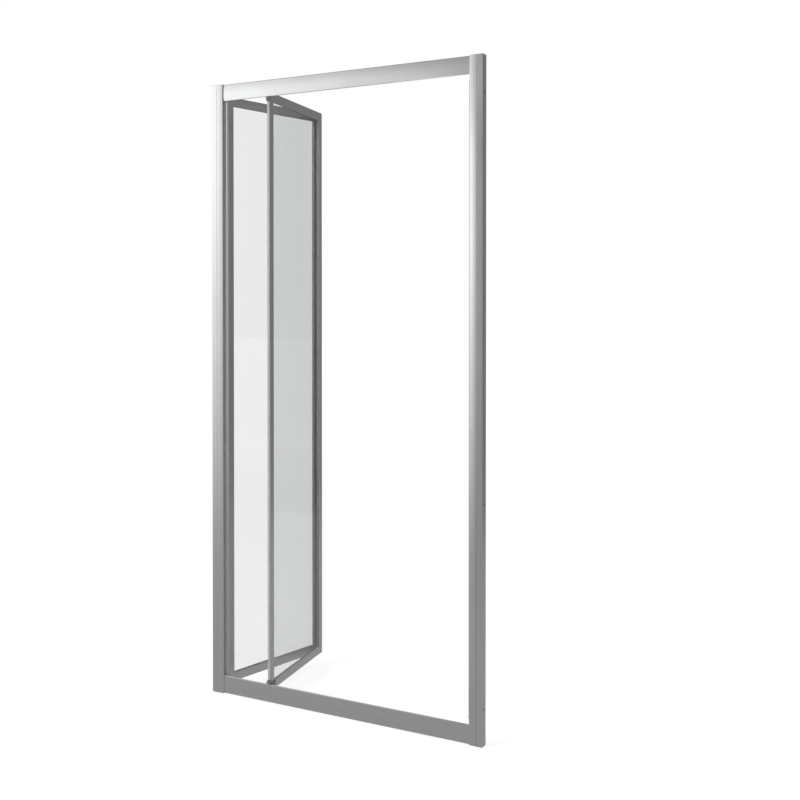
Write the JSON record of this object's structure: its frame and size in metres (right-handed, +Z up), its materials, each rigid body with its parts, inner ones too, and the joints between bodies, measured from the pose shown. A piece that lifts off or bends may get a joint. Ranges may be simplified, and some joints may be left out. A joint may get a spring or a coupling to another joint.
{
  "type": "bifold shower door",
  "caption": "Framed bifold shower door: glazed leaves fold on a full-height centre hinge, guided in tracks of header and threshold.",
  "frame": {"origin": "middle of the threshold's underside, centred across the opening and on the depth of the wall channels", "axes": "+X across the opening from the hinge side to the strike side, +Y into the shower, +Z up"},
  "size_m": [0.9, 0.4086, 1.85],
  "materials": {
    "frame_aluminium": "satin silver anodised",
    "leaf_aluminium": "satin silver anodised",
    "clear_glass": "clear 4 mm tempered",
    "glazing_rubber": "matt grey",
    "soft_seal": "soft grey",
    "magnet_strip": "grey strip with magnetic core",
    "grey_plastic": "moulded silver grey",
    "white_nylon": "natural nylon",
    "black_nylon": "moulded black",
    "stainless_steel": "plain stainless"
  },
  "bodies": {
    "frame": {"wall_channel_left": "frame_aluminium", "wall_channel_right": "frame_aluminium", "hinge_post": "frame_aluminium", "strike_post": "frame_aluminium", "header_rail": "frame_aluminium", "sill_rail": "frame_aluminium", "top_cap_left": "grey_plastic", "top_cap_right": "grey_plastic", "frame_screws": "stainless_steel", "post_screws_left": "stainless_steel", "post_screws_right": "stainless_steel", "screw_covers_left": "grey_plastic", "screw_covers_right": "grey_plastic", "top_pivot_block": "white_nylon", "bottom_pivot_block": "white_nylon", "pivot_block_screws": "stainless_steel", "thrust_washer": "black_nylon", "open_stops": "black_nylon", "hinge_seal": "soft_seal", "strike_seal": "magnet_strip"},
    "hinge_leaf": {"hinge_leaf_pivot_stile": "leaf_aluminium", "hinge_leaf_knuckle_stile": "leaf_aluminium", "hinge_leaf_top_rail": "leaf_aluminium", "hinge_leaf_bottom_rail": "leaf_aluminium", "hinge_leaf_glass": "clear_glass", "hinge_leaf_gasket": "glazing_rubber", "hinge_leaf_end_caps": "black_nylon", "hinge_leaf_screws": "stainless_steel", "hinge_leaf_drip_seal": "soft_seal", "top_pivot_pin": "stainless_steel", "bottom_pivot_pin": "stainless_steel", "centre_hinge_pin": "stainless_steel", "centre_hinge_washers": "white_nylon", "centre_seal": "soft_seal"},
    "lead_leaf": {"lead_leaf_lead_stile": "leaf_aluminium", "lead_leaf_knuckle_stile": "leaf_aluminium", "lead_leaf_top_rail": "leaf_aluminium", "lead_leaf_bottom_rail": "leaf_aluminium", "lead_leaf_glass": "clear_glass", "lead_leaf_gasket": "glazing_rubber", "lead_leaf_end_caps": "black_nylon", "lead_leaf_screws": "stainless_steel", "lead_leaf_drip_seal": "soft_seal", "top_guide_pin": "stainless_steel", "bottom_guide_pin": "stainless_steel", "lead_seal": "magnet_strip", "lead_bumper_top": "black_nylon", "lead_bumper_bottom": "black_nylon"},
    "top_shoe": {"top_guide_shoe": "white_nylon"},
    "bottom_shoe": {"bottom_guide_shoe": "white_nylon"}
  },
  "joints": [
    {"name": "fold", "type": "hinge", "parent": "frame", "child": "hinge_leaf", "pos_m": [-0.4, 0.0014, 0], "axis": [0, 0, 1], "range_deg": [-80, 4]},
    {"name": "centre_hinge", "type": "hinge", "parent": "hinge_leaf", "child": "lead_leaf", "pos_m": [-0.3235, 0.39205, 0], "axis": [0, 0, 1], "range_deg": [-8, 160]},
    {"name": "top_guide_swivel", "type": "hinge", "parent": "lead_leaf", "child": "top_shoe", "pos_m": [-0.247, 0.0014, 1.822], "axis": [0, 0, 1], "range_deg": [-80, 4]},
    {"name": "bottom_guide_swivel", "type": "hinge", "parent": "lead_leaf", "child": "bottom_shoe", "pos_m": [-0.247, 0.0014, 0.023], "axis": [0, 0, 1], "range_deg": [-80, 4]}
  ],
  "couplings": [
    {"joint": "centre_hinge", "follows": "fold", "ratio": -2},
    {"joint": "top_guide_swivel", "follows": "fold", "ratio": 1},
    {"joint": "bottom_guide_swivel", "follows": "fold", "ratio": 1}
  ]
}
